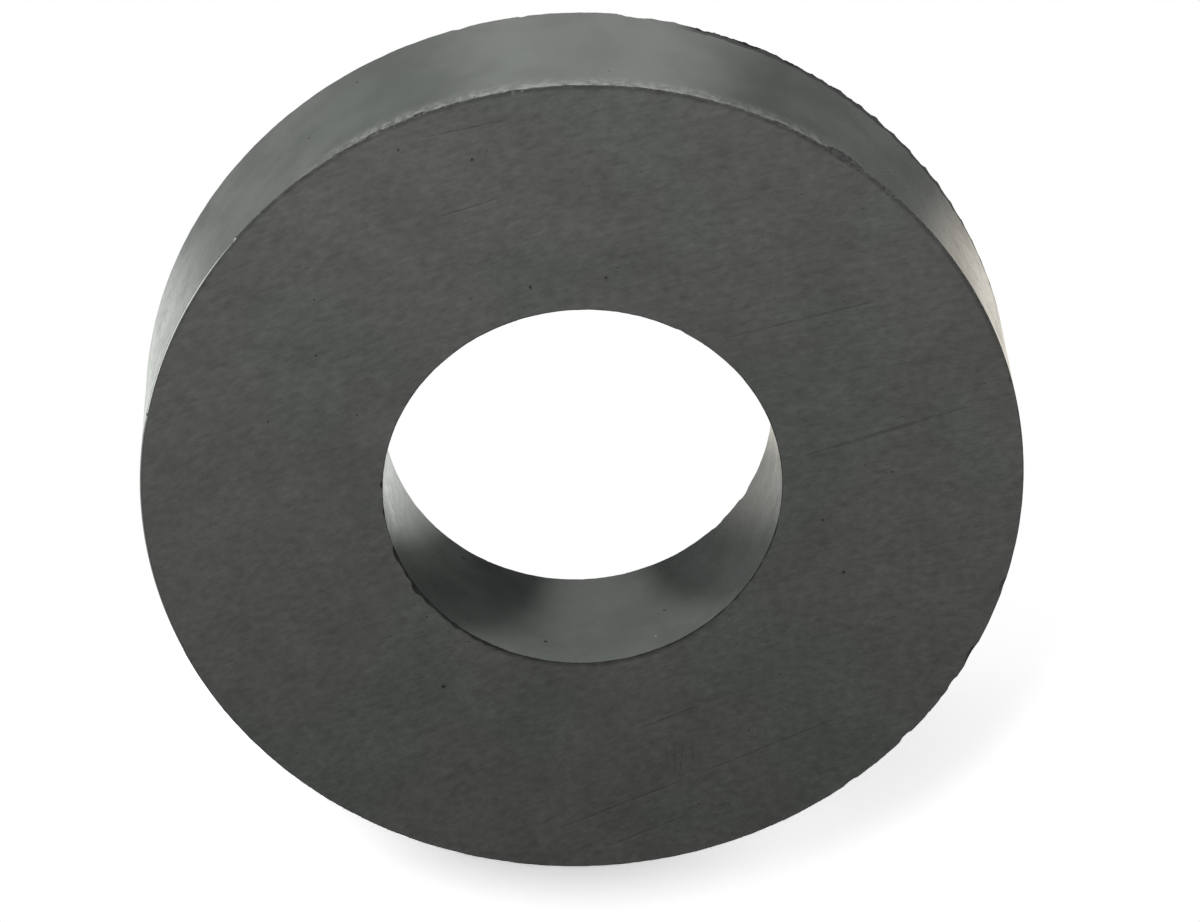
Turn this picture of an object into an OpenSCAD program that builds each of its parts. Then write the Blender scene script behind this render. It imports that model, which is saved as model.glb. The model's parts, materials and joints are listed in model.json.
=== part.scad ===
// Ring magnet: a sintered ferrite ring with two ground faces, a rim and a bore left as they
// came from the furnace, and the scalloped chips that such brittle edges pick up.
// Millimetres. The ring lies flat: +Z is its axis, and the origin is the centre of its underside.

/* [Ring] */
// Outer diameter
outer_d = 50; // [36:0.5:90]
// Diameter of the bore
bore_d = 22.6; // [10:0.1:28]
// Thickness between the two ground faces
thickness = 10; // [5:0.5:20]

/* [Edges] */
// Width of the small bevel on both outer edges
outer_bevel = 0.15; // [0.05:0.05:0.4]
// Width of the small bevel on both edges of the bore
bore_bevel = 0.12; // [0.04:0.04:0.4]

/* [Chips] */
// Length of a small chip along its edge
small_chip = 0.6; // [0.3:0.1:1]
// Length of a medium chip along its edge
medium_chip = 1.1; // [0.5:0.1:1.6]
// Length of a large chip along its edge
large_chip = 1.8; // [0.8:0.1:2.6]
// Length of the longest flake along its edge
long_flake = 3; // [1.5:0.1:4]
// Depth of a chip as a share of its length
chip_depth_share = 0.15; // [0.08:0.01:0.25]
// Depth of the longest flake, which is shallow
flake_depth = 0.26; // [0.1:0.02:0.5]

/* [Crumbled edges] */
// Where the crumbled stretch of the lower outer edge starts, in degrees round the ring
crumble_from = 14; // [0:1:40]
// How far the crumbled stretch of the lower outer edge runs, in degrees
crumble_sweep = 72; // [20:1:120]
// Length of the average chip in it along the edge
crumble_chip = 2; // [0.8:0.1:3]
// Depth of the average chip in it
crumble_depth = 0.26; // [0.1:0.02:0.5]
// Where the frayed stretch of the bore's upper edge starts, in degrees round the ring
fray_from = -158; // [-180:1:-130]
// How far the frayed stretch of the bore's upper edge runs, in degrees
fray_sweep = 46; // [10:1:80]
// Length of the average chip in it along the edge
fray_chip = 1; // [0.4:0.1:1.6]
// Depth of the average chip in it
fray_depth = 0.13; // [0.06:0.01:0.3]

/* [Hidden] */

ferrite_grey = "#4f504e";

outer_r = outer_d / 2;
bore_r = bore_d / 2;

// Facets of the preview mesh: the ring's circles, and the balls that cut the chips
ring_facets = 240;
chip_facets = 40;

// How far the next chip of a broken stretch starts along the last one, as a share of its length
chip_overlap_step = 0.72;
// Spread of the chip lengths and depths in a broken stretch, about the average
least_share = 0.7;
most_share = 1.3;
// Seeds that settle the lengths and the depths of those chips
length_seed = 7;
depth_seed = 23;

// The way a chip faces, in degrees above the ring's plane: most of it in the wall, an even
// share in wall and face, or most of it in the face
in_wall = 22;
even = 45;
in_face = 68;

// Chips on the outer edge of the upper face: place in degrees round the ring, length, facing
upper_rim_chips = [
    [133, small_chip, even],
    [124, small_chip, in_wall],
    [118, medium_chip, in_wall],
    [112, medium_chip, in_wall],
    [108.5, small_chip, even],
    [99.5, medium_chip, in_face],
    [93, small_chip, in_wall],
    [84.3, small_chip, in_face],
    [65, medium_chip, in_wall],
    [48, medium_chip, in_face],
    [16.3, small_chip, in_face],
    [-14.5, medium_chip, in_face],
    [-18.5, small_chip, even],
    [-25.5, large_chip, even],
    [-30.5, medium_chip, in_wall],
    [-33, small_chip, even],
    [-40.5, large_chip, in_wall],
    [-50.5, medium_chip, even]
];

// Place of the longest flake, on the wall below the upper face, and the way that it faces
long_flake_at = 55.3;
long_flake_facing = 16;

// Chips on the outer edge of the lower face, apart from the crumbled stretch
lower_rim_chips = [
    [106, medium_chip, even],
    [98, small_chip, in_wall],
    [171, small_chip, even],
    [214, medium_chip, in_face],
    [261, small_chip, even],
    [318, large_chip, in_wall]
];

// Chips on the bore's upper edge, apart from the frayed stretch
upper_bore_chips = [
    [178.6, small_chip, in_face],
    [-172.3, small_chip, even],
    [-145.5, medium_chip, in_face],
    [-140, medium_chip, even],
    [62, small_chip, in_wall]
];

// Chips on the bore's lower edge
lower_bore_chips = [
    [-29.6, medium_chip, in_wall],
    [-42.5, medium_chip, even],
    [97, small_chip, in_face],
    [154, small_chip, even]
];

// Radius of the ball that leaves a scallop of this length and depth in an edge
function scallop_r(length, depth) = (length * length / 4 + depth * depth) / (2 * depth);

// Half of the ring's section, with its four bevels, drawn at the right of its axis
module ring_section() {
    polygon([
        [bore_r + bore_bevel, 0],
        [outer_r - outer_bevel, 0],
        [outer_r, outer_bevel],
        [outer_r, thickness - outer_bevel],
        [outer_r - outer_bevel, thickness],
        [bore_r + bore_bevel, thickness],
        [bore_r, thickness - bore_bevel],
        [bore_r, bore_bevel]
    ]);
}

// A ball that bites one scallop out of an edge. The edge has radius edge_r and height edge_z.
// out is 1 on the rim and -1 in the bore, and up is 1 at the upper face and -1 at the lower.
module chip_ball(edge_r, edge_z, out, up, place, length, depth, facing) {
    ball_r = scallop_r(length, depth);
    reach = ball_r - depth;
    rotate([0, 0, place])
        translate([edge_r + out * reach * cos(facing), 0, edge_z + up * reach * sin(facing)])
            sphere(r = ball_r, $fn = chip_facets);
}

// The balls for a list of single chips on one edge
module single_chips(chips, edge_r, edge_z, out, up) {
    for (chip = chips)
        chip_ball(edge_r, edge_z, out, up, chip[0], chip[1], chip_depth_share * chip[1], chip[2]);
}

// The balls for a stretch of edge that has broken away chip by chip
module broken_stretch(edge_r, edge_z, out, up, from, sweep, length, depth, facing) {
    step = length * chip_overlap_step / edge_r * 180 / PI;
    count = floor(sweep / step) + 1;
    lengths = rands(least_share, most_share, count, length_seed);
    depths = rands(least_share, most_share, count, depth_seed);
    for (i = [0 : count - 1])
        chip_ball(edge_r, edge_z, out, up, from + i * step,
            length * lengths[i], depth * depths[i], facing);
}

module ring_magnet() {
    color(ferrite_grey)
        difference() {
            rotate_extrude($fn = ring_facets) ring_section();
            single_chips(upper_rim_chips, outer_r, thickness, 1, 1);
            single_chips(lower_rim_chips, outer_r, 0, 1, -1);
            single_chips(upper_bore_chips, bore_r, thickness, -1, 1);
            single_chips(lower_bore_chips, bore_r, 0, -1, -1);
            chip_ball(outer_r, thickness, 1, 1, long_flake_at, long_flake, flake_depth,
                long_flake_facing);
            broken_stretch(outer_r, 0, 1, -1, crumble_from, crumble_sweep,
                crumble_chip, crumble_depth, even);
            broken_stretch(bore_r, thickness, -1, 1, fray_from, fray_sweep,
                fray_chip, fray_depth, in_face);
        }
}

ring_magnet();
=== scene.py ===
"""A sintered ferrite ring magnet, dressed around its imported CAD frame.

The ring lies flat with its axis along +Z and the centre of its underside at the origin. Its two
faces are ground, its rim and bore keep the skin that they left the furnace with, and its brittle
edges are chipped. Lengths are in metres and angles in degrees, unless a name says otherwise.
"""

import json
import logging
import math
import random
from dataclasses import dataclass
from enum import Enum
from typing import Any

import bpy
from mathutils import Matrix, Vector

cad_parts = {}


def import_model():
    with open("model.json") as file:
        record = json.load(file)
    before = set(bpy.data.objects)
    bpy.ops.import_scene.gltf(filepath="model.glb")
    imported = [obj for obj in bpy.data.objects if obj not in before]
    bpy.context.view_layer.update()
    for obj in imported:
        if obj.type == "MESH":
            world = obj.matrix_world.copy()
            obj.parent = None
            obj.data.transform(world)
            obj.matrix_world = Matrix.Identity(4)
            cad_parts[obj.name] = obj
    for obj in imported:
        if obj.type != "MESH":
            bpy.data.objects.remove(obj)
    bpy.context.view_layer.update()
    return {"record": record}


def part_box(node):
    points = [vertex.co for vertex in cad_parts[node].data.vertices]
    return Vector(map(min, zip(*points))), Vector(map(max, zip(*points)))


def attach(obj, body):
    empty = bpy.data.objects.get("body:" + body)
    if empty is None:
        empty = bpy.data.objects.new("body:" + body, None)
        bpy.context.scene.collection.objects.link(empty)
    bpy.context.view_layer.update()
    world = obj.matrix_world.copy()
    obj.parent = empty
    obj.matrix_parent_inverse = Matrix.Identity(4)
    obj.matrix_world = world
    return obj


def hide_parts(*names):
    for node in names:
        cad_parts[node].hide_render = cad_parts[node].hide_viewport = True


log = logging.getLogger("ring_magnet")

MM = 0.001
NODE = "ring_magnet"
BODY = "root"

# A face whose normal is at least this upright is one of the two ground faces
LEVEL_NORMAL = 0.9999

Socket = bpy.types.NodeSocket
Inputs = dict[Any, Any]
Colour = tuple[float, float, float]


def direction(azimuth: float, elevation: float = 0.0) -> Vector:
    """Returns the unit vector at an azimuth from +X and an elevation above the floor, in degrees."""
    turn, rise = math.radians(azimuth), math.radians(elevation)
    return Vector((math.cos(rise) * math.cos(turn), math.cos(rise) * math.sin(turn), math.sin(rise)))


def cosine(angle: float) -> float:
    """Returns the cosine of an angle in degrees."""
    return math.cos(math.radians(angle))


def opaque(colour: Colour) -> tuple[float, float, float, float]:
    """Returns a colour with its alpha of 1."""
    return (*colour, 1.0)


class Texture(Enum):
    """How a noise is layered: how many finer layers lie over the first, and how strong they are."""

    PLAIN = (2.0, 0.5)
    SOFT = (3.0, 0.5)
    KEEN = (4.0, 0.6)
    LUMPY = (4.0, 0.65)
    GRITTY = (4.0, 0.7)
    CLOUDY = (5.0, 0.62)


class Steps:
    """Writes one node tree as a list of steps, each a node joined to the ones before it.

    What goes into a step is a plain number, vector, colour or material, or another step's socket.
    """

    PLAIN_RESULTS = ("LENGTH", "DOT_PRODUCT")

    def __init__(self, tree: bpy.types.NodeTree) -> None:
        """Keeps the geometry or shader tree that the steps go into."""
        self.tree = tree

    def add(self, kind: str, inputs: Inputs | None = None, **settings: Any) -> bpy.types.Node:
        """Adds a node, sets its options, and fills its inputs.

        Args:
            kind: The node's type name.
            inputs: Socket name or number, with a value or another node's output for each.
            settings: The node's own options, such as its operation.

        Returns:
            The new node.
        """
        node = self.tree.nodes.new(kind)
        for name, value in settings.items():
            setattr(node, name, value)
        for name, value in (inputs or {}).items():
            self.fill(node.inputs[name], value)
        return node

    def fill(self, socket: Socket, value: Any) -> None:
        """Joins an output to a socket, or writes a plain value on it.

        Args:
            socket: The input to fill.
            value: An output socket, or a number, vector, colour or material.
        """
        if isinstance(value, Socket):
            self.tree.links.new(value, socket)
        else:
            socket.default_value = value

    def read(self, kind: str, output: Any, inputs: Inputs | None = None, **settings: Any) -> Socket:
        """Adds a node and returns one of its outputs, by name or number."""
        return self.add(kind, inputs, **settings).outputs[output]

    def maths(self, operation: str, *values: Any) -> Socket:
        """Adds a Math node and returns its result."""
        return self.read("ShaderNodeMath", "Value", dict(enumerate(values)), operation=operation)

    def times(self, first: Any, second: Any) -> Socket:
        """Multiplies two numbers."""
        return self.maths("MULTIPLY", first, second)

    def rest(self, share: Any) -> Socket:
        """Works out what a share leaves of the whole of 1."""
        return self.maths("SUBTRACT", 1.0, share)

    def vector(self, operation: str, *values: Any) -> Socket:
        """Adds a Vector Math node and returns its result, a number for a length or dot product."""
        result = "Value" if operation in self.PLAIN_RESULTS else "Vector"
        return self.read("ShaderNodeVectorMath", result, dict(enumerate(values)), operation=operation)

    def scaled(self, vector: Any, factor: Any) -> Socket:
        """Makes a vector longer or shorter."""
        inputs = {"Vector": vector, "Scale": factor}
        return self.read("ShaderNodeVectorMath", "Vector", inputs, operation="SCALE")

    def flat(self, vector: Socket) -> Socket:
        """Lays a vector flat, by taking its height away."""
        return self.vector("MULTIPLY", vector, (1, 1, 0))

    def facing(self, place: Socket, azimuth: float) -> Socket:
        """Works out how far a place lies towards an azimuth, as the cosine of the angle to it."""
        return self.vector("DOT_PRODUCT", self.vector("NORMALIZE", self.flat(place)), direction(azimuth))

    def part(self, vector: Socket, axis: str) -> Socket:
        """Returns one of a vector's three numbers."""
        return self.read("ShaderNodeSeparateXYZ", axis, {"Vector": vector})

    def upright(self, height: Any) -> Socket:
        """Makes an upright vector of a height."""
        return self.read("ShaderNodeCombineXYZ", "Vector", {"Z": height})

    def span(self, value: Any, low: float, high: float, to_low: Any = 0.0, to_high: Any = 1.0) -> Socket:
        """Maps a number's range onto another, smoothly and without overshoot; low may be the higher."""
        inputs = {"Value": value, 1: low, 2: high, 3: to_low, 4: to_high}
        return self.read("ShaderNodeMapRange", "Result", inputs, interpolation_type="SMOOTHSTEP")

    def noise(self, place: Any, scale: Any, texture: Texture = Texture.PLAIN) -> Socket:
        """Adds a noise, which swings about 0.5 and has so many lumps to the metre."""
        inputs = zip(("Vector", "Scale", "Detail", "Roughness"), (place, scale, *texture.value))
        return self.read("ShaderNodeTexNoise", "Fac", dict(inputs))

    def grey(self, level: Socket) -> Socket:
        """Makes a colour whose three parts are the same."""
        return self.read("ShaderNodeCombineColor", "Color", dict.fromkeys(("Red", "Green", "Blue"), level))

    def mix(self, share: Any, first: Any, second: Any, blend: str = "MIX") -> Socket:
        """Mixes two colours.

        Args:
            share: How much of the second shows, from 0 to 1.
            first: The colour underneath, as a socket or with its alpha.
            second: The colour on top.
            blend: How the second is laid over the first.

        Returns:
            The mixed colour's socket.
        """
        node = self.add("ShaderNodeMix", {0: share}, data_type="RGBA", blend_type=blend)
        for socket in node.inputs:
            if socket.type == "RGBA":
                self.fill(socket, first if socket.name == "A" else second)
        return next(socket for socket in node.outputs if socket.type == "RGBA")


class Group(Steps):
    """Writes a node group with named inputs and outputs."""

    def __init__(self, name: str, kind: str, inputs: dict[str, str], outputs: dict[str, str]) -> None:
        """Starts the group.

        Args:
            name: What it is called.
            kind: Its tree's type name.
            inputs: Each input's name, with its kind.
            outputs: Each output's name, with its kind.
        """
        super().__init__(bpy.data.node_groups.new(name, kind))
        for way, sockets in (("INPUT", inputs), ("OUTPUT", outputs)):
            for title, of_kind in sockets.items():
                self.tree.interface.new_socket(title, in_out=way, socket_type=f"NodeSocket{of_kind}")
        self.given = self.add("NodeGroupInput").outputs

    def hand_out(self, results: dict[str, Socket]) -> bpy.types.NodeTree:
        """Joins the results to the group's outputs, and returns its tree."""
        self.add("NodeGroupOutput", results)
        return self.tree


class Edge(Enum):
    """An edge of the ring, as the way out of the metal across it and the way up out of it."""

    UPPER_RIM = (1, 1)
    LOWER_RIM = (1, -1)
    UPPER_BORE = (-1, 1)
    LOWER_BORE = (-1, -1)

    @property
    def out(self) -> int:
        """Returns 1 on the rim and -1 in the bore."""
        return self.value[0]

    @property
    def up(self) -> int:
        """Returns 1 at the upper face and -1 at the lower."""
        return self.value[1]


class Facing(Enum):
    """The way that a chip faces, in degrees above the ring's plane."""

    SPALL = 5
    FLAKE = 16
    IN_WALL = 22
    EVEN = 45
    IN_FACE = 68


class Size(Enum):
    """The usual lengths of a chip along its edge."""

    SMALL = 0.6 * MM
    MEDIUM = 1.1 * MM
    LARGE = 1.8 * MM


@dataclass(frozen=True)
class Cutter:
    """An egg-shaped tool that bites one hollow out of the ring."""

    centre: Vector
    half_size: Vector
    turn: Matrix
    ruggedness: float


@dataclass(frozen=True)
class Ring:
    """The sizes of the plain ring, before anything has chipped it."""

    outer_r: float
    bore_r: float
    thickness: float

    def edge_radius(self, edge: Edge) -> float:
        """Returns the radius of one edge."""
        return self.outer_r if edge.out > 0 else self.bore_r

    def edge_height(self, edge: Edge) -> float:
        """Returns the height of one edge above the underside."""
        return self.thickness if edge.up > 0 else 0.0

    @classmethod
    def from_frame(cls, record: dict[str, Any]) -> "Ring":
        """Reads the ring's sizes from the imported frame.

        Args:
            record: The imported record, whose bore mount holds the bore's radius.

        Returns:
            The ring's sizes.
        """
        low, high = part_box(NODE)
        bore = next(mount for mount in record["mounts"] if mount["kind"] == "bore")
        return cls(min(high.x, high.y, -low.x, -low.y), bore["dims"]["r_mm"] * MM, high.z - low.z)


@dataclass(frozen=True)
class Chip:
    """One scallop in an edge, such as brittle ceramic sheds when it is knocked."""

    place: float
    length: float
    facing: Facing
    depth: float

    # How deep a usual chip is for its length, how thick the cutting egg is in chip depths, and how
    # rough the scallop's surface is
    DEPTH_SHARE = 0.11
    EGG_DEPTHS = 2.5
    RUGGED_SHARE = 0.26

    @classmethod
    def usual(cls, place: float, size: Size, facing: Facing) -> "Chip":
        """Makes a chip of one of the usual sizes, whose depth is a fixed share of its length."""
        return cls(place, size.value, facing, cls.DEPTH_SHARE * size.value)

    def cutter(self, ring: Ring, edge: Edge) -> Cutter:
        """Works out the egg that leaves this scallop.

        Args:
            ring: The plain ring's sizes.
            edge: The edge that is chipped.

        Returns:
            The egg, with its long axis along the edge.
        """
        scallop_r = (self.length ** 2 / 4 + self.depth ** 2) / (2 * self.depth)
        egg_depth = self.EGG_DEPTHS * self.depth
        along = self.length / 2 / math.sqrt(1 - (1 - 1 / self.EGG_DEPTHS) ** 2)
        across = math.sqrt(scallop_r * egg_depth)
        facing = math.radians(self.facing.value)
        way_out = Vector((edge.out * math.cos(facing), 0, edge.up * math.sin(facing)))
        tangent = Vector((0, 1, 0))
        axes = Matrix((tangent, way_out, tangent.cross(way_out))).transposed()
        turn = Matrix.Rotation(math.radians(self.place), 3, "Z")
        start = Vector((ring.edge_radius(edge), 0, ring.edge_height(edge)))
        centre = turn @ (start + way_out * (egg_depth - self.depth))
        half_size = Vector((along, egg_depth, across))
        return Cutter(centre, half_size, turn @ axes, self.RUGGED_SHARE * self.depth)


@dataclass(frozen=True)
class BrokenStretch:
    """A stretch of edge that has broken away chip by chip."""

    start: float
    sweep: float
    length: float
    depth: float
    facing: Facing
    seed: int

    # How far each chip starts along the last one, and how much the chips differ, as shares
    OVERLAP_STEP = 0.72
    SPREAD = (0.7, 1.3)

    def chips(self, edge_radius: float) -> list[Chip]:
        """Sets chips of mixed sizes side by side along the stretch.

        Args:
            edge_radius: The radius of the edge that it runs along.

        Returns:
            The chips, in order round the ring.
        """
        rng = random.Random(self.seed)
        step = math.degrees(self.length * self.OVERLAP_STEP / edge_radius)
        return [
            Chip(self.start + i * step, self.length * rng.uniform(*self.SPREAD),
                 self.facing, self.depth * rng.uniform(*self.SPREAD))
            for i in range(int(self.sweep / step) + 1)
        ]


@dataclass(frozen=True)
class Pit:
    """A pore in the upper face, where a grain was missing or has dropped out."""

    x: float
    y: float
    radius: float

    # Depth below the face, and roughness, as shares of the radius
    DEPTH_SHARE = 0.5
    RUGGED_SHARE = 0.3

    def cutter(self, ring: Ring) -> Cutter:
        """Works out the egg that leaves this pore in the upper face.

        Args:
            ring: The plain ring's sizes.

        Returns:
            The egg, level with the face.
        """
        centre = Vector((self.x, self.y, ring.thickness))
        half_size = Vector((self.radius, self.radius, self.radius * self.DEPTH_SHARE))
        return Cutter(centre, half_size, Matrix.Identity(3), self.RUGGED_SHARE * self.radius)


@dataclass(frozen=True)
class Damage:
    """Everything that has been knocked out of the ring, bar the smallest nicks and pores."""

    def single_chips(self) -> dict[Edge, list[Chip]]:
        """Lists the chips that stand by themselves on each edge.

        Returns:
            The chips of each edge, with the long flake among those of the upper rim.
        """
        s, m, l = Size.SMALL, Size.MEDIUM, Size.LARGE
        wall, even, face = Facing.IN_WALL, Facing.EVEN, Facing.IN_FACE
        rows = {
            Edge.UPPER_RIM: (
                (133, s, even), (124, s, wall), (118, m, wall), (112, m, wall), (108.5, s, even),
                (99.5, m, face), (93, s, wall), (84.3, s, face), (65, m, wall), (48, m, face),
                (16.3, s, face), (-14.5, m, face), (-18.5, s, even), (-25.5, l, even),
                (-30.5, m, wall), (-33, s, even), (-40.5, m, wall), (-50.5, m, even),
            ),
            Edge.LOWER_RIM: (
                (106, m, even), (98, s, wall), (171, s, even), (214, m, face), (261, s, even),
                (318, l, wall),
            ),
            Edge.UPPER_BORE: (
                (178.6, s, face), (-172.3, s, even), (-145.5, m, face), (-140, m, even),
                (62, s, wall),
            ),
            Edge.LOWER_BORE: (
                (-29.6, m, wall), (-42.5, m, even), (97, s, face), (154, s, even),
            ),
        }
        chips = {edge: [Chip.usual(*row) for row in listed] for edge, listed in rows.items()}
        chips[Edge.UPPER_RIM].append(Chip(55.3, 3 * MM, Facing.FLAKE, 0.26 * MM))
        return chips

    def broken_stretches(self) -> list[tuple[Edge, BrokenStretch]]:
        """Lists the stretches that have crumbled.

        Returns:
            Each stretch with its edge: the lower rim's corner, the thin spalls that have split off
            the rim above it, and the frayed part of the bore's upper edge.
        """
        return [
            (Edge.LOWER_RIM, BrokenStretch(14, 72, 2 * MM, 0.26 * MM, Facing.EVEN, 7)),
            (Edge.LOWER_RIM, BrokenStretch(12, 64, 1.9 * MM, 0.11 * MM, Facing.SPALL, 8)),
            (Edge.UPPER_BORE, BrokenStretch(-158, 46, 1 * MM, 0.10 * MM, Facing.EVEN, 23)),
        ]

    def pits(self) -> list[Pit]:
        """Lists the larger pores of the upper face."""
        places = ((-6.4, 20.5, 0.11), (-3.1, 12.7, 0.12), (-7.8, -12.9, 0.13), (15.0, -5.4, 0.12))
        return [Pit(x * MM, y * MM, radius * MM) for x, y, radius in places]

    def cutters(self, ring: Ring) -> list[Cutter]:
        """Gathers the cutters of every listed chip, broken stretch and larger pore.

        Args:
            ring: The plain ring's sizes.

        Returns:
            The cutters, edge by edge.
        """
        found = [chip.cutter(ring, edge) for edge, chips in self.single_chips().items() for chip in chips]
        for edge, stretch in self.broken_stretches():
            found += [chip.cutter(ring, edge) for chip in stretch.chips(ring.edge_radius(edge))]
        return found + [pit.cutter(ring) for pit in self.pits()]


class Column(Enum):
    """What each cutter carries into the trees, and what a cut face is marked with."""

    HALF_SIZE = "half_size"
    TURN = "turn"
    RUGGED = "ruggedness"
    CHIPPED = "chipped"


class GeometryGroup(Group):
    """Writes a geometry tree that hands out one geometry."""

    def __init__(self, name: str, inputs: dict[str, str], output: str) -> None:
        """Starts the tree with its named inputs and its one output."""
        super().__init__(name, "GeometryNodeTree", inputs, {output: "Geometry"})

    def place(self) -> Socket:
        """Reads each point's place."""
        return self.read("GeometryNodeInputPosition", "Position")

    def normal(self) -> Socket:
        """Reads the way that the surface faces."""
        return self.read("GeometryNodeInputNormal", "Normal")

    def carried(self, column: Column, kind: str) -> Socket:
        """Reads what the geometry carries in one column."""
        inputs = {"Name": column.value}
        return self.read("GeometryNodeInputNamedAttribute", "Attribute", inputs, data_type=kind)

    def store(self, geometry: Socket, column: Column, value: Any, domain: str) -> Socket:
        """Keeps a number for each point or face in a column, and returns the geometry with it."""
        inputs = {"Geometry": geometry, "Name": column.value, "Value": value}
        return self.read("GeometryNodeStoreNamedAttribute", "Geometry", inputs, domain=domain)

    def circle(self, steps: Any, radius: Socket) -> Socket:
        """Draws a circle round the axis, in even steps."""
        return self.read("GeometryNodeCurvePrimitiveCircle", "Curve", {"Resolution": steps, "Radius": radius})

    def moved(self, geometry: Socket, offset: Socket) -> Socket:
        """Moves each point of a geometry by its own offset."""
        return self.read("GeometryNodeSetPosition", "Geometry", {"Geometry": geometry, "Offset": offset})

    def number(self, low: float, high: float, seed: Any) -> Socket:
        """Draws a number between two others for each point."""
        return self.read("FunctionNodeRandomValue", 1, {2: low, 3: high, "Seed": seed})

    def triple(self, low: Colour, high: Colour, seed: Any) -> Socket:
        """Draws a vector between two others for each point."""
        inputs = {0: low, 1: high, "Seed": seed}
        return self.read("FunctionNodeRandomValue", 0, inputs, data_type="FLOAT_VECTOR")

    def eggs(self, points: Socket, detail: int, turn: Any, size: Any, chosen: Any = True) -> Socket:
        """Sets an egg on each point.

        Args:
            points: The points.
            detail: How finely the egg is divided.
            turn: Which way each egg lies.
            size: Each egg's three half lengths.
            chosen: Which points have one.

        Returns:
            The eggs, as instances.
        """
        ball = self.read("GeometryNodeMeshIcoSphere", "Mesh", {"Radius": 1.0, "Subdivisions": detail})
        return self.read("GeometryNodeInstanceOnPoints", "Instances", {
            "Points": points, "Selection": chosen, "Instance": ball, "Rotation": turn, "Scale": size})

    def finish(self, geometry: Socket, material: Socket, chosen: Any = True) -> Socket:
        """Gives the chosen faces a material."""
        inputs = {"Geometry": geometry, "Selection": chosen, "Material": material}
        return self.read("GeometryNodeSetMaterial", "Geometry", inputs)


class EdgeNicksTree(GeometryGroup):
    """The tree that scatters small sharp nicks along one circular edge."""

    NUMBERS = ("Radius", "Height", "Way out", "Way up", "Smallest", "Largest", "Share")

    # How far a nick's middle is tilted above the ring's plane, and how far out it stands
    TILTS = (math.radians(18), math.radians(72))
    STAND_OUT = (0.55, 0.92)

    # How its egg is stretched, and how rough it is
    STRETCH = ((0.7, 0.8, 0.9), (1.5, 1.1, 1.2))
    RUGGED_SHARE = 0.12
    EGG_DETAIL = 2

    # The power that makes most nicks small, the length of the stretches that they gather in, where
    # the noise makes a stretch bare or crowded, and the chance's factor there
    RARITY = 4.0
    CROWD_LENGTH = 4 * MM
    CROWDS = (0.35, 0.65)
    CROWDING = (0.25, 1.75)

    def __init__(self) -> None:
        """Writes the tree."""
        inputs = dict.fromkeys(self.NUMBERS, "Float") | {"Places": "Int", "Seed": "Int"}
        super().__init__("edge nicks", inputs, "Cutters")
        given, seed = self.given, self.given["Seed"]
        circle = self.circle(given["Places"], given["Radius"])
        points = self.read("GeometryNodeCurveToPoints", "Points", {"Curve": circle}, mode="EVALUATED")
        size = self._sizes()
        outward = self.flat(self.vector("NORMALIZE", self.place()))
        tilt = self.number(*self.TILTS, seed)
        across = self.scaled(outward, self.times(self.maths("COSINE", tilt), given["Way out"]))
        lift = self.upright(self.times(self.maths("SINE", tilt), given["Way up"]))
        stand = self.scaled(self.vector("ADD", across, lift),
                            self.times(size, self.number(*self.STAND_OUT, seed)))
        moved = self.moved(points, self.vector("ADD", self.upright(given["Height"]), stand))
        kept = self.store(moved, Column.RUGGED, self.times(size, self.RUGGED_SHARE), "POINT")
        chosen = self.read("FunctionNodeRandomValue", 3, {"Probability": self._chance(), "Seed": seed},
                           data_type="BOOLEAN")
        turn = self.triple((0, 0, 0), (math.tau,) * 3, seed)
        egg_size = self.scaled(self.triple(*self.STRETCH, seed), size)
        self.hand_out({"Cutters": self.eggs(kept, self.EGG_DETAIL, turn, egg_size, chosen)})

    def _sizes(self) -> Socket:
        """Gives each nick a size, with many small ones for each large one.

        Returns:
            The size's socket.
        """
        smallest, largest = self.given["Smallest"], self.given["Largest"]
        luck = self.maths("POWER", self.number(0.0, 1.0, self.given["Seed"]), self.RARITY)
        return self.maths("MULTIPLY_ADD", luck, self.maths("SUBTRACT", largest, smallest), smallest)

    def _chance(self) -> Socket:
        """Works out the chance that a place has a nick, which gathers them as knocks do."""
        crowd = self.noise(self.place(), 1 / self.CROWD_LENGTH)
        return self.times(self.span(crowd, *self.CROWDS, *self.CROWDING), self.given["Share"])


@dataclass(frozen=True)
class EdgeNicks:
    """How the small nicks of one edge are scattered."""

    places: int
    share: float
    smallest: float
    largest: float
    seed: int


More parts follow.
